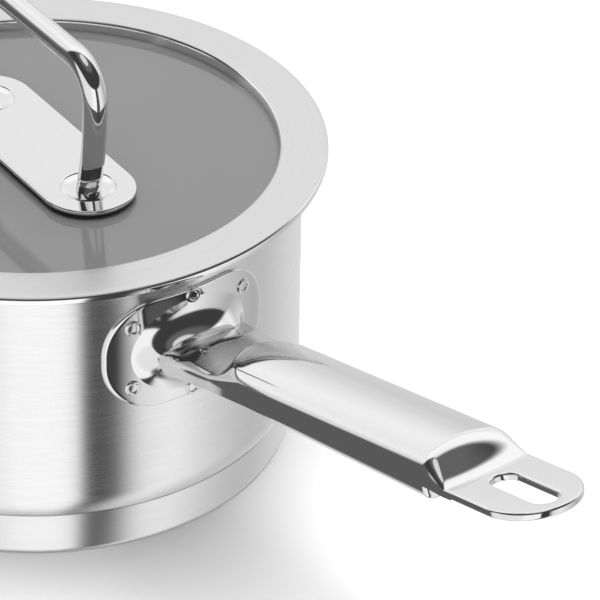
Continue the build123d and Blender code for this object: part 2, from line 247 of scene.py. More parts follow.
# The wide flag stops short of the table, and straight under the pan it is dark.
left_side = math_node(tent, "LESS_THAN", aside, 0.0)
flag_foot = vary(tent, rise, FLAG_FOOT_LIGHT / BRIGHTEST, 0.0, FLAG_FOOT_LOW, FLAG_FOOT_HIGH)
low = math_node(tent, "MAXIMUM", low, math_node(tent, "MULTIPLY", flag_foot, left_side))
low = math_node(tent, "MULTIPLY", low, vary(tent, rise, UNDER_SHARE, 1.0, UNDER_LOW, UNDER_HIGH))

# The cloth hangs only behind the pan, and starts lower than the dark room in front does.
behind = vary(tent, towards, 1.0, 0.0, BEHIND_FULL, BEHIND_NONE)
room = vary(tent, rise, ROOM_DARK / BRIGHTEST, CEILING_LIGHT / BRIGHTEST,
            CEILING_EDGE_LOW, CEILING_EDGE_HIGH)
lamp = vary(tent, rise, 0.0, LAMP_LIGHT / BRIGHTEST, LAMP_EDGE_LOW, LAMP_EDGE_HIGH)
upper = mix_greys(tent, behind, math_node(tent, "MAXIMUM", room, lamp), cloth)
above_front = vary(tent, rise, 0.0, 1.0, ROOM_EDGE_LOW, ROOM_EDGE_HIGH)
above_back = vary(tent, rise, 0.0, 1.0, CLOTH_EDGE_LOW, CLOTH_EDGE_HIGH)
light = mix_greys(tent, mix_greys(tent, behind, above_front, above_back), low, upper)
background = add_node(tent, "ShaderNodeBackground", Strength=BRIGHTEST)
tent.links.new(light, background.inputs["Color"])
output = tent.nodes.new("ShaderNodeOutputWorld")
tent.links.new(background.outputs[0], output.inputs["Surface"])
print("tent of light:", len(low_lights), "low lights")

# %% [markdown]
# ## The table and the softbox
#
# A pale sheet lies under the pan, and a softbox overhead lights it and gives the pan a soft
# shadow. Mirrors see neither: the tent already has a white table below its horizon, with the
# flags' feet on it.

# %% Table and softbox
TABLE_SIZE = 6.0
SOFTBOX_SIZE = 1.2
SOFTBOX_HEIGHT = 1.3
SOFTBOX_POWER = 22.0
SOFTBOX_ASIDE = 0.1
TABLE_GREY = 0.9
TABLE_ROUGHNESS = 0.9

table_mesh = bpy.data.meshes.new("table")
half_table = TABLE_SIZE / 2
table_mesh.from_pydata(
    [(-half_table, -half_table, 0), (half_table, -half_table, 0),
     (half_table, half_table, 0), (-half_table, half_table, 0)],
    [], [(0, 1, 2, 3)],
)
table = bpy.data.objects.new("table", table_mesh)
bpy.context.scene.collection.objects.link(table)
table.visible_glossy = False
table_paint = bpy.data.materials.new("pale_table")
table_paint.use_nodes = True
paint = table_paint.node_tree.nodes["Principled BSDF"]
paint.inputs["Base Color"].default_value = plain(TABLE_GREY)
paint.inputs["Roughness"].default_value = TABLE_ROUGHNESS
paint.inputs["Specular IOR Level"].default_value = 0.0
table_mesh.materials.append(table_paint)

box_light = bpy.data.lights.new("softbox", "AREA")
box_light.shape = "SQUARE"
box_light.size = SOFTBOX_SIZE
box_light.energy = SOFTBOX_POWER
softbox = bpy.data.objects.new("softbox", box_light)
softbox.location = (SOFTBOX_ASIDE, SOFTBOX_ASIDE, SOFTBOX_HEIGHT)
softbox.visible_glossy = False
bpy.context.scene.collection.objects.link(softbox)
print("table", TABLE_SIZE, "m across, softbox", SOFTBOX_POWER, "W")

# %% [markdown]
# ## Steel
#
# One kind of steel with several surfaces. Satin steel is brushed: fine parallel scratches
# spread a reflection across their own direction. Two things make that look: the shader's
# anisotropy, which stretches the highlight, and very thin streaks, which break it up close to.
# Polished steel is nearly a mirror, with the faintest cloudiness from handling.

# %% Steel helpers
def new_steel(name, colour, roughness):
    """A metal shader to build on. Returns the material, its tree and its shader."""
    material = bpy.data.materials.new(name)
    material.use_nodes = True
    tree = material.node_tree
    shader = tree.nodes["Principled BSDF"]
    shader.inputs["Base Color"].default_value = plain(colour)
    shader.inputs["Metallic"].default_value = 1.0
    shader.inputs["Roughness"].default_value = roughness
    return material, tree, shader


def place_on_piece(tree):
    """The point on the piece, in metres."""
    return tree.nodes.new("ShaderNodeTexCoord").outputs["Object"]


def stretched_noise(tree, point, scale, detail=4.0):
    """Noise whose grain is stretched: scale has one number for each direction."""
    mapping = tree.nodes.new("ShaderNodeMapping")
    mapping.inputs["Scale"].default_value = scale
    tree.links.new(point, mapping.inputs["Vector"])
    noise = add_node(tree, "ShaderNodeTexNoise", Scale=1.0, Detail=detail)
    tree.links.new(mapping.outputs[0], noise.inputs["Vector"])
    return noise.outputs["Fac"]


def around_and_up(tree, point):
    """The point as (distance from the Z axis, angle, height), so that a pattern runs in rings."""
    split = tree.nodes.new("ShaderNodeSeparateXYZ")
    tree.links.new(point, split.inputs[0])
    squares = math_node(tree, "ADD",
                        math_node(tree, "MULTIPLY", split.outputs["X"], split.outputs["X"]),
                        math_node(tree, "MULTIPLY", split.outputs["Y"], split.outputs["Y"]))
    join = tree.nodes.new("ShaderNodeCombineXYZ")
    tree.links.new(math_node(tree, "SQRT", squares), join.inputs["X"])
    angle = math_node(tree, "ARCTAN2", split.outputs["Y"], split.outputs["X"])
    tree.links.new(angle, join.inputs["Y"])
    tree.links.new(split.outputs["Z"], join.inputs["Z"])
    return join.outputs[0]


def add_bump(tree, shader, height, strength, distance):
    """Bump from a height socket."""
    bump = add_node(tree, "ShaderNodeBump", Strength=strength, Distance=distance)
    tree.links.new(height, bump.inputs["Height"])
    tree.links.new(bump.outputs[0], shader.inputs["Normal"])


def vary_shares(tree, factor, value, shares, socket):
    """Let a factor take a socket between two shares of a value."""
    tree.links.new(vary(tree, factor, value * shares[0], value * shares[1]), socket)


# %% Satin steel: brushed in rings
SCRATCH_GRAIN = (6000.0, 9.0, 6000.0)       # cells a metre outwards, a radian round, a metre up
PATCH_GRAIN = (700.0, 4.0, 700.0)
SCRATCH_COLOUR = (0.92, 1.06)               # shares of the finish's own colour
PATCH_ROUGHNESS = (0.85, 1.15)              # and of its roughness
SPREAD_ACROSS = 0.25                        # a quarter turn: highlights spread across scratches
SCRATCH_BUMP = 0.02
SCRATCH_DEPTH = 0.0001


def satin_steel(name, colour, roughness, stretch):
    """Brushed steel whose scratches run round the Z axis."""
    material, tree, shader = new_steel(name, colour, roughness)
    point = place_on_piece(tree)
    rings = around_and_up(tree, point)
    scratches = stretched_noise(tree, rings, SCRATCH_GRAIN, detail=3.0)
    patches = stretched_noise(tree, rings, PATCH_GRAIN, detail=5.0)
    vary_shares(tree, patches, roughness, PATCH_ROUGHNESS, shader.inputs["Roughness"])
    vary_shares(tree, scratches, colour, SCRATCH_COLOUR, shader.inputs["Base Color"])
    shader.inputs["Anisotropic"].default_value = stretch
    shader.inputs["Anisotropic Rotation"].default_value = SPREAD_ACROSS
    ring_line = tree.nodes.new("ShaderNodeTangent")
    ring_line.direction_type = "RADIAL"
    ring_line.axis = "Z"
    tree.links.new(ring_line.outputs[0], shader.inputs["Tangent"])
    add_bump(tree, shader, scratches, SCRATCH_BUMP, SCRATCH_DEPTH)
    return material


satin_wall = satin_steel("satin_wall", colour=0.80, roughness=0.27, stretch=0.95)
satin_base = satin_steel("satin_base", colour=0.78, roughness=0.29, stretch=0.92)
satin_ring = satin_steel("satin_ring", colour=0.63, roughness=0.34, stretch=0.2)


# %% Polished steel
CLOUD_GRAIN = (55.0, 55.0, 55.0)
CLOUD_ROUGHNESS = (0.6, 1.6)
HAIR_GRAIN = (300.0, 2500.0, 2500.0)
HAIR_COLOUR = (0.97, 1.02)


def polished_steel(name, colour, roughness):
    """Mirror steel with a faint cloudiness and a few hair scratches."""
    material, tree, shader = new_steel(name, colour, roughness)
    point = place_on_piece(tree)
    clouds = stretched_noise(tree, point, CLOUD_GRAIN, detail=3.0)
    hairs = stretched_noise(tree, point, HAIR_GRAIN, detail=2.0)
    vary_shares(tree, clouds, roughness, CLOUD_ROUGHNESS, shader.inputs["Roughness"])
    vary_shares(tree, hairs, colour, HAIR_COLOUR, shader.inputs["Base Color"])
    return material


polished = polished_steel("polished_steel", colour=0.70, roughness=0.045)
bright_edge = polished_steel("bright_edge_steel", colour=0.80, roughness=0.08)
plain_steel = polished_steel("plain_steel", colour=0.62, roughness=0.22)
aluminium = polished_steel("aluminium_core", colour=0.72, roughness=0.45)


# %% [markdown]
# ## Glass and silicone
#
# The lid's glass is smoked: it lets a little of what is below come through and is grey in
# itself, with a clean mirror on its face. The seals are milky silicone, soft and a little
# uneven.

# %% Smoked glass
GLASS_GREY = 0.225
GLASS_SHARES = (0.96, 1.04)
GLASS_GRAIN = (22.0, 22.0, 22.0)
GLASS_CLEAR = 0.35      # the share of light that goes through
GLASS_IOR = 1.5
GLASS_ROUGHNESS = 0.015

glass = bpy.data.materials.new("smoked_glass")
glass.use_nodes = True
glass_tree = glass.node_tree
glass_shader = glass_tree.nodes["Principled BSDF"]
glass_shader.inputs["Roughness"].default_value = GLASS_ROUGHNESS
glass_shader.inputs["IOR"].default_value = GLASS_IOR
glass_shader.inputs["Transmission Weight"].default_value = GLASS_CLEAR
cloudiness = stretched_noise(glass_tree, place_on_piece(glass_tree), GLASS_GRAIN, detail=2.0)
vary_shares(glass_tree, cloudiness, GLASS_GREY, GLASS_SHARES, glass_shader.inputs["Base Color"])

# %% Silicone
SILICONE_GREYS = (0.52, 0.62)
SILICONE_GRAIN = (400.0, 400.0, 400.0)
SILICONE_ROUGHNESS = 0.5
SILICONE_IOR = 1.41
SILICONE_BUMP = 0.15
SILICONE_DEPTH = 0.0002

silicone = bpy.data.materials.new("silicone")
silicone.use_nodes = True
silicone_tree = silicone.node_tree
silicone_shader = silicone_tree.nodes["Principled BSDF"]
silicone_shader.inputs["Roughness"].default_value = SILICONE_ROUGHNESS
silicone_shader.inputs["IOR"].default_value = SILICONE_IOR
mottle = stretched_noise(silicone_tree, place_on_piece(silicone_tree), SILICONE_GRAIN)
silicone_grey = vary(silicone_tree, mottle, *SILICONE_GREYS)
silicone_tree.links.new(silicone_grey, silicone_shader.inputs["Base Color"])
add_bump(silicone_tree, silicone_shader, mottle, SILICONE_BUMP, SILICONE_DEPTH)


# %% Dress the frame's own pieces
def dress(node_name, material):
    """Give a piece of the frame this one material."""
    materials = nodes[node_name].data.materials
    materials.clear()
    materials.append(material)


finishes = {
    "lid_skirt": satin_wall, "lid_glass": glass, "lid_gasket": silicone, "base_core": aluminium,
}
for side in ("front", "rear"):
    finishes[f"lid_seal_upper_{side}"] = silicone
    finishes[f"lid_seal_lower_{side}"] = silicone
    finishes[f"lid_washer_{side}"] = plain_steel
    finishes[f"lid_screw_{side}"] = plain_steel
for name, material in finishes.items():
    dress(name, material)
print("dressed", len(finishes), "pieces of the frame")

# %% [markdown]
# ## Turned pieces
#
# The pan's body, the cap of its base and the lid's ring are all turned round one axis: a half
# outline, swept through a full circle. Steel sheet has a second outline at the sheet's
# thickness from the first, so the helper draws both and joins them into one closed loop.
# Finer steps than the engineering model's keep a brushed highlight free of facets.

# %% Turning helpers
TURN_STEPS = 288
SHARP_EDGE = 35.0           # degrees: steeper edges stay sharp
SAME_POINT = 0.001          # millimetres
MERGE_WITHIN = 1e-6         # metres
DISSOLVE_WITHIN = 1e-7


def arc(centre_r, centre_z, radius, start, end, steps=10):
    """Points along an arc, from one angle to another, in degrees."""
    angles = [math.radians(start + (end - start) * i / steps) for i in range(steps + 1)]
    return [(centre_r + radius * math.cos(a), centre_z + radius * math.sin(a)) for a in angles]


def without_repeats(path):
    """The path without points that fall on the one before."""
    kept = [path[0]]
    for point in path[1:]:
        if math.dist(point, kept[-1]) > SAME_POINT:
            kept.append(point)
    return kept


def sheet_outline(path, thickness):
    """The closed outline of a sheet: the path, and back along its left side."""
    path = without_repeats(path)
    other = []
    for i, (r, z) in enumerate(path):
        before = path[max(i - 1, 0)]
        after = path[min(i + 1, len(path) - 1)]
        along_r, along_z = after[0] - before[0], after[1] - before[1]
        length = math.hypot(along_r, along_z)
        left_r = max(r - thickness * along_z / length, 0.0)
        other.append((left_r if r > 0 else 0.0, z + thickness * along_r / length))
    return path + other[::-1]


def new_object(name, mesh, *materials):
    """Put a mesh in the scene under this name."""
    for material in materials:
        mesh.materials.append(material)
    piece = bpy.data.objects.new(name, mesh)
    bpy.context.scene.collection.objects.link(piece)
    return piece


def closed_mesh(name, points, faces, sharp=SHARP_EDGE):
    """A closed mesh from points in millimetres: doubles merged, faces outwards, smooth."""
    mesh = bpy.data.meshes.new(name)
    mesh.from_pydata([(x * MM, y * MM, z * MM) for x, y, z in points], [], faces)
    shape = bmesh.new()
    shape.from_mesh(mesh)
    bmesh.ops.remove_doubles(shape, verts=shape.verts, dist=MERGE_WITHIN)
    bmesh.ops.dissolve_degenerate(shape, edges=shape.edges, dist=DISSOLVE_WITHIN)
    bmesh.ops.recalc_face_normals(shape, faces=shape.faces)
    shape.to_mesh(mesh)
    shape.free()
    mesh.shade_smooth()
    mesh.set_sharp_from_angle(angle=math.radians(sharp))
    return mesh


def turned_mesh(name, outline, steps=TURN_STEPS):
    """Sweep a closed outline of (radius, height) points round the Z axis."""
    points, faces = [], []
    size = len(outline)
    for step in range(steps):
        angle = 2 * math.pi * step / steps
        points += [(r * math.cos(angle), r * math.sin(angle), z) for r, z in outline]
        this, following = step * size, (step + 1) % steps * size
        for i in range(size):
            j = (i + 1) % size
            faces.append((this + i, following + i, following + j, this + j))
    return closed_mesh(name, points, faces)


def finish_piece(piece, body, slot, *replaced):
    """Tie a finished piece to its body and hide the pieces that it stands for. The slot, its finish,
    is not used.
    """
    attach(piece, body)
    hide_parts(*replaced)
    corners = [
        [round(most(v.co[i] for v in piece.data.vertices) / MM, 1) for i in range(3)]
        for most in (min, max)
    ]
    print(piece.name, "faces", len(piece.data.polygons), "from", corners[0], "to", corners[1])


# %% Pan body
PAN_RADIUS = 80.0
PAN_WALL = 0.9
CORNER_RADIUS = 13.0
RIM_HEIGHT = 96.5
RIM_OVERHANG = 4.0
RIM_RISE = 5.8
CAP_HEIGHT = 14.8
CAP_TOP_RADIUS = 78.0
CORNER_STEPS = 24
WALL_STEPS = 12
FLARE_ARC_STEPS = 14

floor_centre = PAN_RADIUS - CORNER_RADIUS
corner_height = CAP_HEIGHT + math.sqrt(CORNER_RADIUS**2 - (CAP_TOP_RADIUS - floor_centre) ** 2)
flare_turn = 2 * math.degrees(math.atan2(RIM_OVERHANG, RIM_RISE))
flare_radius = RIM_OVERHANG / (1 - math.cos(math.radians(flare_turn)))
flare_height = RIM_HEIGHT - RIM_RISE - PAN_WALL * math.sin(math.radians(flare_turn))
pan_path = (
    [(0.0, corner_height - CORNER_RADIUS)]
    + arc(floor_centre, corner_height, CORNER_RADIUS, -90, 0, CORNER_STEPS)
    + [(PAN_RADIUS, corner_height + (flare_height - corner_height) * i / WALL_STEPS)
       for i in range(1, WALL_STEPS)]
    + arc(PAN_RADIUS + flare_radius, flare_height, flare_radius, 180, 180 - flare_turn,
          FLARE_ARC_STEPS)
)
pan_mesh = turned_mesh("pan_shell", sheet_outline(pan_path, PAN_WALL))
pan = new_object("pan_shell", pan_mesh, satin_wall)
finish_piece(pan, "saucepan", "satin_steel", "pan_body")

# %% Base cap
CAP_BOTTOM_RADIUS = 77.1
CAP_SKIN = 0.8
CAP_EDGE_RADIUS = 2.0
CAP_BEVEL = 0.3        # the bright line along the cap's upper edge

lean = math.degrees(math.atan2(CAP_TOP_RADIUS - CAP_BOTTOM_RADIUS, CAP_HEIGHT))
edge_centre = CAP_BOTTOM_RADIUS - CAP_EDGE_RADIUS
skin_radius = CAP_TOP_RADIUS - CAP_SKIN
skin_top = corner_height - math.sqrt(CORNER_RADIUS**2 - (skin_radius - floor_centre) ** 2)
cap_path = (
    [(0.0, 0.0)]
    + arc(edge_centre, CAP_EDGE_RADIUS, CAP_EDGE_RADIUS, -90, -lean)
    + [(CAP_TOP_RADIUS, CAP_HEIGHT - CAP_BEVEL),
       (CAP_TOP_RADIUS - CAP_BEVEL, CAP_HEIGHT - CAP_BEVEL / 2)]
)
inner_edge = CAP_BOTTOM_RADIUS - CAP_SKIN
cap_outline = cap_path + [
    (skin_radius, skin_top - CAP_BEVEL), (inner_edge, CAP_SKIN), (0.0, CAP_SKIN),
]
cap = new_object("base_shell", turned_mesh("base_shell", cap_outline), satin_base)
finish_piece(cap, "saucepan", "satin_steel", "base_cap")

# %% Lid ring
# The face is satin. The turned edges, outside and inside, are polished: they get the second
# material by the slope of their faces.
RING_OUTER_LIP = 1.9
RING_FACE_WIDTH = 14.7
RING_BEND = 1.2
RING_SKIN = 0.8
GLASS_RECESS = 3.7
RING_TURN_STEPS = 360
RING_BEND_STEPS = 8
RING_FACE_STEPS = 6
FLAT_ENOUGH = 0.8       # faces that look up more than this are the satin face

ring_high = Vector(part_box("lid_ring")[1]) / MM
ring_top = ring_high.z
ring_radius = ring_high.x
inner_radius = ring_radius - RING_FACE_WIDTH
glass_top = ring_top - GLASS_RECESS
flat_width = RING_FACE_WIDTH - 2 * RING_BEND
ring_path = (
    [(ring_radius, ring_top - RING_OUTER_LIP)]
    + arc(ring_radius - RING_BEND, ring_top - RING_BEND, RING_BEND, 0, 90, RING_BEND_STEPS)
    + [(inner_radius + RING_BEND + flat_width * (1 - i / RING_FACE_STEPS), ring_top)
       for i in range(1, RING_FACE_STEPS)]
    + arc(inner_radius + RING_BEND, ring_top - RING_BEND, RING_BEND, 90, 180, RING_BEND_STEPS)
    + [(inner_radius, glass_top)]
)
ring_mesh = turned_mesh("lid_ring_shell", sheet_outline(ring_path, RING_SKIN), RING_TURN_STEPS)
ring = new_object("lid_ring_shell", ring_mesh, satin_ring, bright_edge)
for face in ring_mesh.polygons:
    face.material_index = 0 if face.normal.z > FLAT_ENOUGH else 1
finish_piece(ring, "lid", "satin_steel", "lid_ring")

# %% [markdown]
# ## The lid's handle
#
# A round rod bent to an arch. Half its centre line is two arcs, for the leg and the bend, and a
# straight run to the middle; the other half mirrors it. A small Geometry Nodes tree sweeps a
# circle along it. The plate under it is a flat shape with round ends and rounded edges, which is
# what a filled two-dimensional curve with a bevel is for. Its two holes get a shallow turned
# dish each.

# %% Rod: a circle swept along a line
ROD_RADIUS = 3.65
ROD_TOP = 138.3
ROD_BEND = 11.0
LEG_LEAN = 16.0
LID_TURN = math.radians(-3.5)
FOOT_SPACING = 60.0
SEAL_THICKNESS = 0.6
PLATE_THICKNESS = 1.5
LEG_STEPS = 16
BEND_STEPS = 28
TOP_STEPS = 6
ROD_SIDES = 64

foot_height = glass_top + SEAL_THICKNESS + PLATE_THICKNESS
bend_height = ROD_TOP - ROD_BEND
leg_radius = (bend_height - foot_height) / math.sin(math.radians(LEG_LEAN))
leg_reach = FOOT_SPACING / 2 + leg_radius * (1 - math.cos(math.radians(LEG_LEAN)))
half_rod = without_repeats(
    arc(leg_reach - leg_radius, bend_height, leg_radius, -LEG_LEAN, 0, LEG_STEPS)
    + arc(leg_reach - ROD_BEND, bend_height, ROD_BEND, 0, 90, BEND_STEPS)
    + [((leg_reach - ROD_BEND) * (1 - i / TOP_STEPS), ROD_TOP) for i in range(1, TOP_STEPS + 1)]
)
rod_line = half_rod + [(-x, z) for x, z in half_rod[-2::-1]]


def on_lid(x, y, z):
    """A point given along and across the lid's handle, turned to how the lid rests."""
    cos, sin = math.cos(LID_TURN), math.sin(LID_TURN)
    return (x * cos - y * sin, x * sin + y * cos, z)


def poly_curve(name, points):
    """An open curve through points in millimetres."""
    curve = bpy.data.curves.new(name, "CURVE")
    curve.dimensions = "3D"
    spline = curve.splines.new("POLY")
    spline.points.add(len(points) - 1)
    for target, (x, y, z) in zip(spline.points, points):
        target.co = (x * MM, y * MM, z * MM, 1.0)
    return curve


def tree_input(tree, name, kind):
    """Add a named input to a Geometry Nodes tree and return its identifier."""
    return tree.interface.new_socket(name, in_out="INPUT", socket_type=kind).identifier


def end_tree(tree, geometry, steel):
    """Smooth a tree's geometry, make its instances real, give it its steel and put it out."""
    tree.interface.new_socket("Mesh", in_out="OUTPUT", socket_type="NodeSocketGeometry")
    for kind in ("SetShadeSmooth", "RealizeInstances", "SetMaterial"):
        step = tree.nodes.new("GeometryNode" + kind)
        tree.links.new(geometry, step.inputs["Geometry"])
        geometry = step.outputs["Geometry"]
    tree.links.new(steel, step.inputs["Material"])
    tree.links.new(geometry, tree.nodes.new("NodeGroupOutput").inputs["Mesh"])


sweep_tree = bpy.data.node_groups.new("sweep_a_rod", "GeometryNodeTree")
tree_input(sweep_tree, "Line", "NodeSocketGeometry")
radius_id = tree_input(sweep_tree, "Rod Radius", "NodeSocketFloat")
sides_id = tree_input(sweep_tree, "Sides", "NodeSocketInt")
steel_id = tree_input(sweep_tree, "Steel", "NodeSocketMaterial")
tree_in = sweep_tree.nodes.new("NodeGroupInput")
circle = sweep_tree.nodes.new("GeometryNodeCurvePrimitiveCircle")
sweep = sweep_tree.nodes.new("GeometryNodeCurveToMesh")
sweep.inputs["Fill Caps"].default_value = True
link = sweep_tree.links.new
link(tree_in.outputs["Rod Radius"], circle.inputs["Radius"])
link(tree_in.outputs["Sides"], circle.inputs["Resolution"])
link(tree_in.outputs["Line"], sweep.inputs["Curve"])
link(circle.outputs["Curve"], sweep.inputs["Profile Curve"])
end_tree(sweep_tree, sweep.outputs["Mesh"], tree_in.outputs["Steel"])


def evaluated_mesh(source):
    """A plain mesh of an object with its modifiers applied."""
    graph = bpy.context.evaluated_depsgraph_get()
    return bpy.data.meshes.new_from_object(source.evaluated_get(graph))


def grown(source, tree, settings):
    """The plain mesh that a Geometry Nodes tree makes of an object, with the object removed."""
    modifier = source.modifiers.new("grow", "NODES")
    modifier.node_group = tree
    for identifier, value in settings.items():
        modifier[identifier] = value
    mesh = evaluated_mesh(source)
    source.modifiers.clear()
    bpy.data.objects.remove(source)
    return mesh


rod_source = new_object("rod_line", poly_curve("rod_line", [on_lid(x, 0, z) for x, z in rod_line]))
rod_mesh = grown(rod_source, sweep_tree, {
    radius_id: ROD_RADIUS * MM, sides_id: ROD_SIDES, steel_id: polished,
})
for vertex in rod_mesh.vertices:
    vertex.co.z = max(vertex.co.z, foot_height * MM)
rod_mesh.set_sharp_from_angle(angle=math.radians(SHARP_EDGE))
rod = new_object("lid_handle_arch", rod_mesh)
finish_piece(rod, "lid", "polished_steel", "lid_handle_rod")

# %% Plate: a filled curve with round holes
PLATE_WIDTH = 28.8
PLATE_LIFT = 1.5
PLATE_EDGE = 0.6
DISH_RADIUS = 8.1
DISH_FLOOR_RADIUS = 6.2
SCREW_HOLE = 2.1
DISH_BEND = (0.4, 0.15)     # where the dish's floor turns up: this far out, and this high
DISH_STEPS = 72
DISH_TURN_STEPS = 96
PLATE_EDGE_STEPS = 5
PLATE_SHARP_EDGE = 30.0

plate_bottom = glass_top + PLATE_LIFT


def flat_loop(curve, points):
    """Add a closed outline in millimetres to a flat curve."""
    spline = curve.splines.new("POLY")
    spline.points.add(len(points) - 1)
    for target, (x, y) in zip(spline.points, points):
        target.co = (x * MM, y * MM, 0.0, 1.0)
    spline.use_cyclic_u = True


def filled_plate(name, loops, thickness, edge, transform):
    """A flat plate with rounded edges. The first loop is its outline and the rest are holes."""
    curve = bpy.data.curves.new(name, "CURVE")
    curve.dimensions = "2D"
    curve.fill_mode = "BOTH"
    curve.extrude = (thickness / 2 - edge) * MM
    curve.bevel_depth = edge * MM
    curve.bevel_resolution = PLATE_EDGE_STEPS
    curve.offset = -edge * MM
    for loop in loops:
        flat_loop(curve, loop)
    source = new_object(name, curve)
    mesh = evaluated_mesh(source)
    bpy.data.objects.remove(source)
    mesh.transform(transform)
    shape = bmesh.new()
    shape.from_mesh(mesh)
    bmesh.ops.remove_doubles(shape, verts=shape.verts, dist=MERGE_WITHIN)
    bmesh.ops.recalc_face_normals(shape, faces=shape.faces)
    shape.to_mesh(mesh)
    shape.free()
    mesh.materials.clear()
    mesh.shade_smooth()
    mesh.set_sharp_from_angle(angle=math.radians(PLATE_SHARP_EDGE))
    return mesh


def round_ended(half_length, half_width, steps=40):
    """The outline of a strip with two round ends."""
    far = arc(half_length - half_width, 0, half_width, -90, 90, steps)
    return far + [(-x, -y) for x, y in far]


def even_normals(piece):
    """Let big flat faces set the shading at their edges."""
    even = piece.modifiers.new("even_normals", "WEIGHTED_NORMAL")
    even.keep_sharp = True


dish_centres = [FOOT_SPACING / 2, -FOOT_SPACING / 2]
plate_loops = [round_ended((FOOT_SPACING + PLATE_WIDTH) / 2, PLATE_WIDTH / 2)]
for centre in dish_centres:
    plate_loops.append(arc(centre, 0, DISH_RADIUS, 360, 0, DISH_STEPS)[:-1])
plate_middle = Matrix.Translation((0, 0, (plate_bottom + PLATE_THICKNESS / 2) * MM))
on_glass = plate_middle @ Matrix.Rotation(LID_TURN, 4, "Z")
plate_mesh = filled_plate("handle_plate", plate_loops, PLATE_THICKNESS, PLATE_EDGE, on_glass)

dish_top = plate_bottom + PLATE_THICKNESS - PLATE_EDGE / 2
dish_floor = foot_height
dish_outline = sheet_outline(
    [(DISH_RADIUS + PLATE_EDGE, dish_top), (DISH_RADIUS, dish_top),
     (DISH_FLOOR_RADIUS + DISH_BEND[0], dish_floor + DISH_BEND[1]),
     (DISH_FLOOR_RADIUS, dish_floor), (SCREW_HOLE, dish_floor)],
    PLATE_EDGE,
)
joined = bmesh.new()
joined.from_mesh(plate_mesh)
for centre in dish_centres:
    dish_mesh = turned_mesh("dish", dish_outline, DISH_TURN_STEPS)
    dish_mesh.transform(Matrix.Translation(Vector(on_lid(centre, 0, 0)) * MM))
    joined.from_mesh(dish_mesh)
joined.to_mesh(plate_mesh)
joined.free()
plate = new_object("handle_plate", plate_mesh, polished)
even_normals(plate)
finish_piece(plate, "lid", "polished_steel", "lid_handle_plate")

# %% [markdown]
# ## The pan's handle
#
# The handle is two pressed shells: a channel on top, and a shallower trough tucked into it from
# below. The upper one is the piece that everyone looks at: a low neck, then a raised grip whose
# front edge is drawn like a fingernail, and a short slope down to the flat hanging tab. Its
# shape follows a rule, so it is made as rows of section outlines along the handle. Each section
# has upright sides, round shoulders and a crowned top, and the row's place along the handle
# sets the sizes of all three.

# %% Handle frame and section helpers
HANDLE_HEIGHT = 68.5
HANDLE_TILT = math.radians(13.63)
BRACKET_SKIN = 1.0
HALF_SECTION_STEPS = 36
TOP_SHARE = 0.42        # how much of a section's half outline its top takes
CORNER_SHARE = 0.40     # and its rounded shoulder


def on_handle(along, across, above):
    """A point given along, across and above the handle's axis."""
    cos, sin = math.cos(HANDLE_TILT), math.sin(HANDLE_TILT)
    return (PAN_RADIUS + BRACKET_SKIN + along * cos - above * sin, across,
            HANDLE_HEIGHT + along * sin + above * cos)


def blend(first, second, share):
    """A value between two others."""
    return first + (second - first) * share


def ease(value, start, length):
    """Rise smoothly from 0 at start to 1 at start + length."""
    share = min(max((value - start) / length, 0.0), 1.0)
    return share * share * (3 - 2 * share)


def arch_point(share, half_width, bottom, corner, crown, lean):
    """A point of an arched section, from its crown (0) to its lower edge (1)."""
    lean = math.radians(lean)
    top_width = half_width - corner + corner * math.sin(lean)
    top_drop = top_width * math.tan(lean) / 2
    shoulder = crown - top_drop - corner * math.cos(lean)
    if share <= TOP_SHARE:
        place = share / TOP_SHARE
        return top_width * place, crown - top_drop * place**2
    if share <= TOP_SHARE + CORNER_SHARE:
        angle = blend(lean, math.pi / 2, (share - TOP_SHARE) / CORNER_SHARE)
        return half_width - corner + corner * math.sin(angle), shoulder + corner * math.cos(angle)
    place = (share - TOP_SHARE - CORNER_SHARE) / (1 - TOP_SHARE - CORNER_SHARE)
    return half_width, blend(shoulder, bottom, place)


def rows_mesh(name, rows):
    """A closed mesh from equal closed loops of points, with its first and last loop capped."""
    size = len(rows[0])
    points = [point for row in rows for point in row]
    faces = []
    for i in range(len(rows) - 1):
        for j in range(size):
            k = (j + 1) % size
            faces.append((i * size + j, i * size + k, (i + 1) * size + k, (i + 1) * size + j))
    half = size // 2
    for start in (0, (len(rows) - 1) * size):
        for j in range(half - 1):
            faces.append((start + j, start + j + 1, start + size - 2 - j, start + size - 1 - j))
    return closed_mesh(name, points, faces)


# %% Upper shell: the rule for each section
GRIP_HALF = 14.7
GRIP_CROWN = 7.7
GRIP_CORNER = 6.0
GRIP_LEAN = 13.0
GRIP_SEAM = -2.0
NECK_HALF = 15.8
NECK_CROWN = 5.4
NECK_DIP = 4.2          # the crown just before the grip rises
NECK_CORNER = 3.5
DIP_CORNER = 2.5
DIP_LEAN = 10.0
NECK_SEAM = -2.6
SHELL_START = 5.0
START_ROUND = 4.5
MOUTH_DEPTH = 6.5       # how far the shell's front edge is cut back at the middle
MOUTH_BLEND = 16.0
DIP_START = 12.0
SHELL_WALL = 1.5
NAIL_START = 29.5       # where the raised grip's front edge stands, at the middle
NAIL_SWEEP = 0.03       # how fast that edge sweeps back towards the sides
NAIL_LENGTH = 1.6       # over which it rises, at the middle
NAIL_FADE = 0.02
FLANK_START = 20.0      # the sides grow into the grip slowly, from here
FLANK_LENGTH = 24.0
FLANK_FROM = 0.36       # the share of the half outline where the flank starts
FLANK_SPAN = 0.4
CREST = 127.5
STEP_LENGTH = 13.5
SIDE_CREST = 2.4        # the step starts later at the sides
SIDE_SHORTER = 5.0      # and is steeper there
SIDE_FROM = 0.8         # from this share of the half outline on, it is all side
HOLLOW_END = 131.0
SHELL_END = 141.5
TAB_THICKNESS = 2.5
TAB_EDGE = 0.8
TAB_SINK = 0.02         # the shell's last stretch lies this far under the tab's face
TAB_LIFT = 0.05         # and this far above its underside
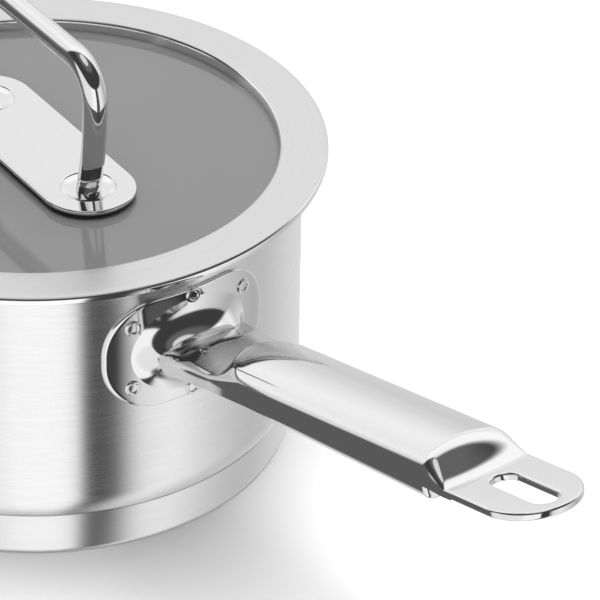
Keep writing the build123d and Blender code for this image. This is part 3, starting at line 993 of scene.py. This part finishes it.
TAB_LEAN = 0.5
LEAST_CORNER = 0.1


def upper_section(along, share, inset=0.0):
    """A point of the upper shell: along, across and above, at this place along the handle."""
    neck_share = ease(along, 0.0, NAIL_START)
    dip_share = ease(along, DIP_START, NAIL_START - DIP_START)
    half = blend(NECK_HALF, GRIP_HALF, neck_share) - inset
    bottom = blend(NECK_SEAM, GRIP_SEAM, neck_share)
    corner_start = SHELL_START + START_ROUND
    if along < corner_start:
        bottom += START_ROUND - math.sqrt(START_ROUND**2 - (corner_start - along) ** 2)
    side = min(share / SIDE_FROM, 1.0) ** 2
    step = ease(along, CREST + SIDE_CREST * side, STEP_LENGTH - SIDE_SHORTER * side)
    bottom = blend(bottom, -TAB_THICKNESS + TAB_LIFT, step)
    neck = arch_point(share, half, bottom, blend(NECK_CORNER, DIP_CORNER, dip_share) - inset,
                      blend(NECK_CROWN, NECK_DIP, dip_share) - inset,
                      blend(GRIP_LEAN, DIP_LEAN, dip_share))
    crown = blend(GRIP_CROWN, -TAB_SINK, step)
    corner = TAB_EDGE + (GRIP_CORNER - TAB_EDGE) * max(crown, 0.0) / GRIP_CROWN - inset
    grip = arch_point(share, half, bottom, max(corner, LEAST_CORNER), crown - inset,
                      blend(GRIP_LEAN, TAB_LEAN, step))
    flank = ease(share, FLANK_FROM, FLANK_SPAN)
    edge = blend(NAIL_START + NAIL_SWEEP * grip[0] ** 2, FLANK_START, flank)
    raised = ease(along, edge, blend(NAIL_LENGTH + NAIL_FADE * grip[0] ** 2, FLANK_LENGTH, flank))
    across = blend(neck[0], grip[0], raised)
    cut_back = 1 - min(across / half, 1.0) ** 2
    mouth = MOUTH_DEPTH * cut_back * (1 - ease(along, SHELL_START, MOUTH_BLEND))
    return along + mouth, across, blend(neck[1], grip[1], raised)


def spread(start, end, step):
    """Even places from start up to, but not at, end."""
    count = max(round((end - start) / step), 1)
    return [start + (end - start) * i / count for i in range(count)]


def row_places(stretches):
    """Places for the rows, from stretches of (start, end, step), with the last end included."""
    return [place for stretch in stretches for place in spread(*stretch)] + [stretches[-1][1]]


# Rows stand close where the shape turns quickly.
places = row_places([
    (SHELL_START, 12, 0.4), (12, 27, 1.0), (27, 45, 0.3), (45, 114, 3.0), (114, HOLLOW_END, 0.5),
    (HOLLOW_END, SHELL_END, 0.35),
])
shares = [i / HALF_SECTION_STEPS for i in range(-HALF_SECTION_STEPS, HALF_SECTION_STEPS + 1)]
upper_rows = []
for along in places:
    outer = [upper_section(along, abs(share)) for share in shares]
    inner = [upper_section(along, abs(share), SHELL_WALL) for share in shares]
    if along >= HOLLOW_END:
        floor = outer[0][2]
        inner = [(place, across, floor) for place, across, _ in inner]
    row = [on_handle(u, math.copysign(a, share), v) for share, (u, a, v) in zip(shares, outer)]
    back = [on_handle(u, math.copysign(a, share), v) for share, (u, a, v) in zip(shares, inner)]
    upper_rows.append(row + back[::-1])
upper_mesh = rows_mesh("upper_shell", upper_rows)
print("upper shell:", len(places), "sections of", len(upper_rows[0]), "points")

# %% Hanging tab: a filled curve with a slot, joined to the shell
TAB_END = 171.3
TAB_START = 136.0
SLOT_CENTRE = 154.9
SLOT_HALF_LENGTH = 12.0
SLOT_HALF_WIDTH = 4.25
TAB_STEPS = 56
SLOT_STEPS = 24
TAB_SHARP_EDGE = 32.0

tab_arc = arc(TAB_END - GRIP_HALF, 0, GRIP_HALF, -90, 90, TAB_STEPS)
tab_outline = [(TAB_START, -GRIP_HALF)] + tab_arc + [(TAB_START, GRIP_HALF)]
slot = round_ended(SLOT_HALF_LENGTH, SLOT_HALF_WIDTH, SLOT_STEPS)
slot_outline = [(SLOT_CENTRE + x, -y) for x, y in slot]
along_handle = Vector((math.cos(HANDLE_TILT), 0, math.sin(HANDLE_TILT)))
above_handle = Vector((-math.sin(HANDLE_TILT), 0, math.cos(HANDLE_TILT)))
tab_origin = Vector(on_handle(0, 0, -TAB_THICKNESS / 2)) * MM
to_handle = Matrix((
    (along_handle.x, 0, above_handle.x, tab_origin.x),
    (0, 1, 0, tab_origin.y),
    (along_handle.z, 0, above_handle.z, tab_origin.z),
    (0, 0, 0, 1),
))
tab_mesh = filled_plate("tab", [tab_outline, slot_outline], TAB_THICKNESS, TAB_EDGE, to_handle)
upper = new_object("handle_upper", upper_mesh, polished)
tab = new_object("tab", tab_mesh, polished)
weld = upper.modifiers.new("weld", "BOOLEAN")
weld.operation = "UNION"
weld.solver = "EXACT"
weld.object = tab
upper_mesh = evaluated_mesh(upper)
upper.modifiers.clear()
upper.data = upper_mesh
bpy.data.objects.remove(tab)
upper_mesh.shade_smooth()
upper_mesh.set_sharp_from_angle(angle=math.radians(TAB_SHARP_EDGE))
even_normals(upper)
finish_piece(upper, "saucepan", "polished_steel", "handle_upper_shell")

# %% Lower shell
LOWER_START = 12.0
LOWER_DEPTHS = (-4.3, -5.3, -8.2)   # its underside at its start, where the grip starts, at its end
LOWER_CORNER = 4.0
LOWER_WALL = 1.2
LOWER_END = 128.0
LOWER_END_ROUND = 1.6
LOWER_TUCK = 1.5
LOWER_CORNER_ROOM = 0.2     # wall left straight above the rounded corner, at least
LOWER_CORNER_STEPS = 12
LOWER_FLOOR_STEPS = 8
LOWER_SOLID = 1.9           # the last stretch has no hollow
LOWER_END_ROWS = 2.0        # and close rows
SHELL_GAP = 1.6             # the upper shell's wall and the clearance inside it


def lower_depth(along):
    """How deep the lower shell's underside lies, at this place along the handle."""
    start, throat, end = LOWER_DEPTHS
    if along < NAIL_START:
        return blend(start, throat, (along - LOWER_START) / (NAIL_START - LOWER_START))
    return blend(throat, end, (along - NAIL_START) / (LOWER_END - NAIL_START))


def trough_row(along, inset):
    """One face of the trough's section, from rim to rim: its inside has an inset."""
    neck_share = ease(along, 0.0, NAIL_START)
    half = blend(NECK_HALF, GRIP_HALF, neck_share) - SHELL_GAP - inset
    top = blend(NECK_SEAM, GRIP_SEAM, neck_share) + LOWER_TUCK
    past = max(along - (LOWER_END - LOWER_END_ROUND), 0.0)
    rounding = LOWER_END_ROUND - math.sqrt(LOWER_END_ROUND**2 - past**2)
    depth = lower_depth(along)
    corner = min(LOWER_CORNER, top - depth - LOWER_CORNER_ROOM) - inset
    bottom = depth + inset + rounding
    half -= rounding
    left = arc(-half + corner, bottom + corner, corner, 180, 270, LOWER_CORNER_STEPS)
    floor = [(blend(-half + corner, half - corner, i / LOWER_FLOOR_STEPS), bottom)
             for i in range(1, LOWER_FLOOR_STEPS)]
    right_side = arc(half - corner, bottom + corner, corner, 270, 360, LOWER_CORNER_STEPS)
    return [(-half, top)] + left + floor + right_side + [(half, top)]


lower_places = row_places([
    (LOWER_START, NAIL_START, 1.5), (NAIL_START, LOWER_END - LOWER_END_ROWS, 5.0),
    (LOWER_END - LOWER_END_ROWS, LOWER_END, 0.2),
])
lower_rows = []
for along in lower_places:
    outer = trough_row(along, 0.0)
    inner = trough_row(along, LOWER_WALL)
    if along > LOWER_END - LOWER_SOLID:
        inner = [(across, outer[0][1]) for across, _ in inner]
    loop = outer + inner[::-1]
    lower_rows.append([on_handle(along, across, above) for across, above in loop])
lower = new_object("handle_lower", rows_mesh("lower_shell", lower_rows), polished)
finish_piece(lower, "saucepan", "polished_steel", "handle_lower_shell")

# %% [markdown]
# ## The bracket
#
# A plate curved to the wall, with a dome drawn out of its middle to carry the handle. It is
# made as rings round the handle's axis: the dome's neck, its flare, the plate and its rounded
# edge, and then the same rings again on the wall. The weld spots repeat, so a Geometry Nodes
# tree sets one on each of six points.

# %% Bracket plate and dome
BRACKET_HALF_WIDTH = 28.2
BRACKET_HALF_HEIGHT = 18.6
BRACKET_CORNER = 17.0
BRACKET_EDGE = 0.9
BRACKET_HEIGHT = HANDLE_HEIGHT + 0.6
DOME_FOOT = (20.2, 15.3)
DOME_NECK = (13.2, 4.1)
DOME_REACH = 13.0
NECK_TUCK = 1.35        # the neck runs on into the shell: its reach as a share of the dome's
NECK_DROP = 1.0         # the neck rises this much less than the handle's axis does
NECK_RISE = DOME_REACH * math.tan(HANDLE_TILT) - NECK_DROP
FLARE_STEPS = 26
FLARE_END = 74.0        # degrees: short of 90, which leaves a crease at the dome's foot

RIM_CORNER_STEPS = 40
RIM_TOP_STEPS = 14
RIM_SIDE_STEPS = 4
PLATE_RINGS = 10
EDGE_RINGS = 6
BRACKET_SHARP_EDGE = 14.0   # low, so that the dome's foot stays crisp

bracket_steel = polished_steel("bracket_steel", colour=0.70, roughness=0.09)
side_reach = BRACKET_HALF_WIDTH - BRACKET_CORNER
rise_reach = BRACKET_HALF_HEIGHT - BRACKET_CORNER
rim_line = []
for sign_y, sign_z, start in ((1, 1, 0), (-1, 1, 90), (-1, -1, 180), (1, -1, 270)):
    rim_line += arc(sign_y * side_reach, sign_z * rise_reach, BRACKET_CORNER, start, start + 90,
                    RIM_CORNER_STEPS)
    if sign_y * sign_z > 0:
        rim_line += [(sign_y * side_reach * (1 - 2 * i / RIM_TOP_STEPS), sign_z * BRACKET_HALF_HEIGHT)
                     for i in range(1, RIM_TOP_STEPS)]
    else:
        rim_line += [(sign_y * BRACKET_HALF_WIDTH, sign_z * rise_reach * (1 - 2 * i / RIM_SIDE_STEPS))
                     for i in range(1, RIM_SIDE_STEPS)]


def wall_at(across, skin=0.0):
    """How far out the pan's wall stands, this far across, with a skin over it."""
    return math.sqrt((PAN_RADIUS + skin) ** 2 - across**2)


def pulled_in(rim_point, distance):
    """A point of the rim line, moved this far towards the middle."""
    share = 1 - distance / math.hypot(*rim_point)
    return rim_point[0] * share, rim_point[1] * share


def ellipse_ring(half_sizes, height_share):
    """A ring of the dome: its points face the rim line's, its height is a share of the reach."""
    ring_points = []
    for y, z in rim_line:
        angle = math.atan2(z / BRACKET_HALF_HEIGHT, y / BRACKET_HALF_WIDTH)
        y, z = half_sizes[0] * math.cos(angle), half_sizes[1] * math.sin(angle)
        out = blend(wall_at(y, BRACKET_SKIN), PAN_RADIUS + DOME_REACH, height_share)
        ring_points.append((out, y, z + NECK_RISE * height_share))
    return ring_points


rings_of_dome = [ellipse_ring(DOME_NECK, NECK_TUCK)]
neck_height = 1 - math.sin(math.radians(FLARE_END))
neck_width = math.cos(math.radians(FLARE_END))
for i in range(FLARE_STEPS + 1):
    angle = math.radians(FLARE_END * i / FLARE_STEPS)
    outward = (1 - math.cos(angle)) / (1 - neck_width)
    height_share = (1 - math.sin(angle) - neck_height) / (1 - neck_height)
    sizes = [blend(neck, foot, outward) for neck, foot in zip(DOME_NECK, DOME_FOOT)]
    rings_of_dome.append(ellipse_ring(sizes, height_share))
foot_ring = rings_of_dome[-1]
edge_rings = []
flat_edge = [pulled_in(rim_point, BRACKET_EDGE) for rim_point in rim_line]
for i in range(1, PLATE_RINGS + 1):
    share = i / PLATE_RINGS
    across_and_up = [(blend(foot[1], y, share), blend(foot[2], z, share))
                     for foot, (y, z) in zip(foot_ring, flat_edge)]
    edge_rings.append([(wall_at(y, BRACKET_SKIN), y, z) for y, z in across_and_up])
for i in range(1, EDGE_RINGS + 1):
    angle = math.pi / 2 * i / EDGE_RINGS
    pull_in = BRACKET_EDGE * (1 - math.sin(angle))
    skin = BRACKET_SKIN - BRACKET_EDGE * (1 - math.cos(angle))
    across_and_up = [pulled_in(rim_point, pull_in) for rim_point in rim_line]
    edge_rings.append([(wall_at(y, skin), y, z) for y, z in across_and_up])
front_rings = rings_of_dome + edge_rings
back_rings = [[(wall_at(y), y, z) for _, y, z in ring_points] for ring_points in front_rings[:0:-2]]
all_rings = front_rings + [[(wall_at(y), y, z) for y, z in rim_line]] + back_rings
middle = [(PAN_RADIUS + DOME_REACH * NECK_TUCK, 0, NECK_RISE * NECK_TUCK), (PAN_RADIUS, 0, 0)]
size = len(rim_line)
points = [point for ring_points in all_rings for point in ring_points] + middle
faces = []
for i in range(len(all_rings) - 1):
    for j in range(size):
        k = (j + 1) % size
        faces.append((i * size + j, i * size + k, (i + 1) * size + k, (i + 1) * size + j))
last = (len(all_rings) - 1) * size
for j in range(size):
    faces.append((j, (j + 1) % size, len(points) - 2))
    faces.append((last + j, last + (j + 1) % size, len(points) - 1))
points = [(x, y, z + BRACKET_HEIGHT) for x, y, z in points]
bracket_mesh = closed_mesh("bracket_plate", points, faces, BRACKET_SHARP_EDGE)
bracket = new_object("bracket_plate", bracket_mesh, bracket_steel)

# %% Weld spots on the bracket
SPOT_RADIUS = 1.9
SPOT_RIM = 0.6
BOWL_FLATNESS = 0.12
SPOT_SIDES = 32
SPOT_RIM_SIDES = 14
BOWL_RINGS = 12
weld_spots = [(0, 16.2), (0, -16.0), (19.6, 10.6), (-19.6, 10.6), (19.6, -10.2), (-19.6, -10.2)]

spot_tree = bpy.data.node_groups.new("set_weld_spots", "GeometryNodeTree")
tree_input(spot_tree, "Points", "NodeSocketGeometry")
spot_radius_id = tree_input(spot_tree, "Spot Radius", "NodeSocketFloat")
spot_rim_id = tree_input(spot_tree, "Rim Radius", "NodeSocketFloat")
spot_steel_id = tree_input(spot_tree, "Steel", "NodeSocketMaterial")
tree_in = spot_tree.nodes.new("NodeGroupInput")
rim_path = add_node(spot_tree, "GeometryNodeCurvePrimitiveCircle", Resolution=SPOT_SIDES)
rim_section = add_node(spot_tree, "GeometryNodeCurvePrimitiveCircle", Resolution=SPOT_RIM_SIDES)
rim = spot_tree.nodes.new("GeometryNodeCurveToMesh")
bowl = add_node(spot_tree, "GeometryNodeMeshUVSphere", Segments=SPOT_SIDES, Rings=BOWL_RINGS)
flatten = add_node(spot_tree, "GeometryNodeTransform", Scale=(1.0, 1.0, BOWL_FLATNESS))
both = spot_tree.nodes.new("GeometryNodeJoinGeometry")
where = spot_tree.nodes.new("GeometryNodeInputPosition")
level = spot_tree.nodes.new("ShaderNodeVectorMath")
level.operation = "MULTIPLY"
level.inputs[1].default_value = (1.0, 1.0, 0.0)
face_out = spot_tree.nodes.new("FunctionNodeAlignRotationToVector")
face_out.axis = "Z"
place_spots = spot_tree.nodes.new("GeometryNodeInstanceOnPoints")
link = spot_tree.links.new
link(tree_in.outputs["Spot Radius"], rim_path.inputs["Radius"])
link(tree_in.outputs["Rim Radius"], rim_section.inputs["Radius"])
link(rim_path.outputs["Curve"], rim.inputs["Curve"])
link(rim_section.outputs["Curve"], rim.inputs["Profile Curve"])
link(tree_in.outputs["Spot Radius"], bowl.inputs["Radius"])
link(bowl.outputs["Mesh"], flatten.inputs["Geometry"])
link(rim.outputs["Mesh"], both.inputs["Geometry"])
link(flatten.outputs["Geometry"], both.inputs["Geometry"])
link(where.outputs["Position"], level.inputs[0])
link(level.outputs[0], face_out.inputs["Vector"])
link(tree_in.outputs["Points"], place_spots.inputs["Points"])
link(both.outputs["Geometry"], place_spots.inputs["Instance"])
link(face_out.outputs["Rotation"], place_spots.inputs["Rotation"])
end_tree(spot_tree, place_spots.outputs["Instances"], tree_in.outputs["Steel"])

spot_points = bpy.data.meshes.new("spot_points")
spot_points.from_pydata([
    (wall_at(y, BRACKET_SKIN) * MM, y * MM, (z + BRACKET_HEIGHT) * MM) for y, z in weld_spots
], [], [])
spots_mesh = grown(new_object("spot_points", spot_points), spot_tree, {
    spot_radius_id: SPOT_RADIUS * MM, spot_rim_id: SPOT_RIM * MM, spot_steel_id: polished,
})
spots = new_object("weld_spots", spots_mesh)
finish_piece(bracket, "saucepan", "polished_steel", "handle_bracket")
finish_piece(spots, "saucepan", "polished_steel")
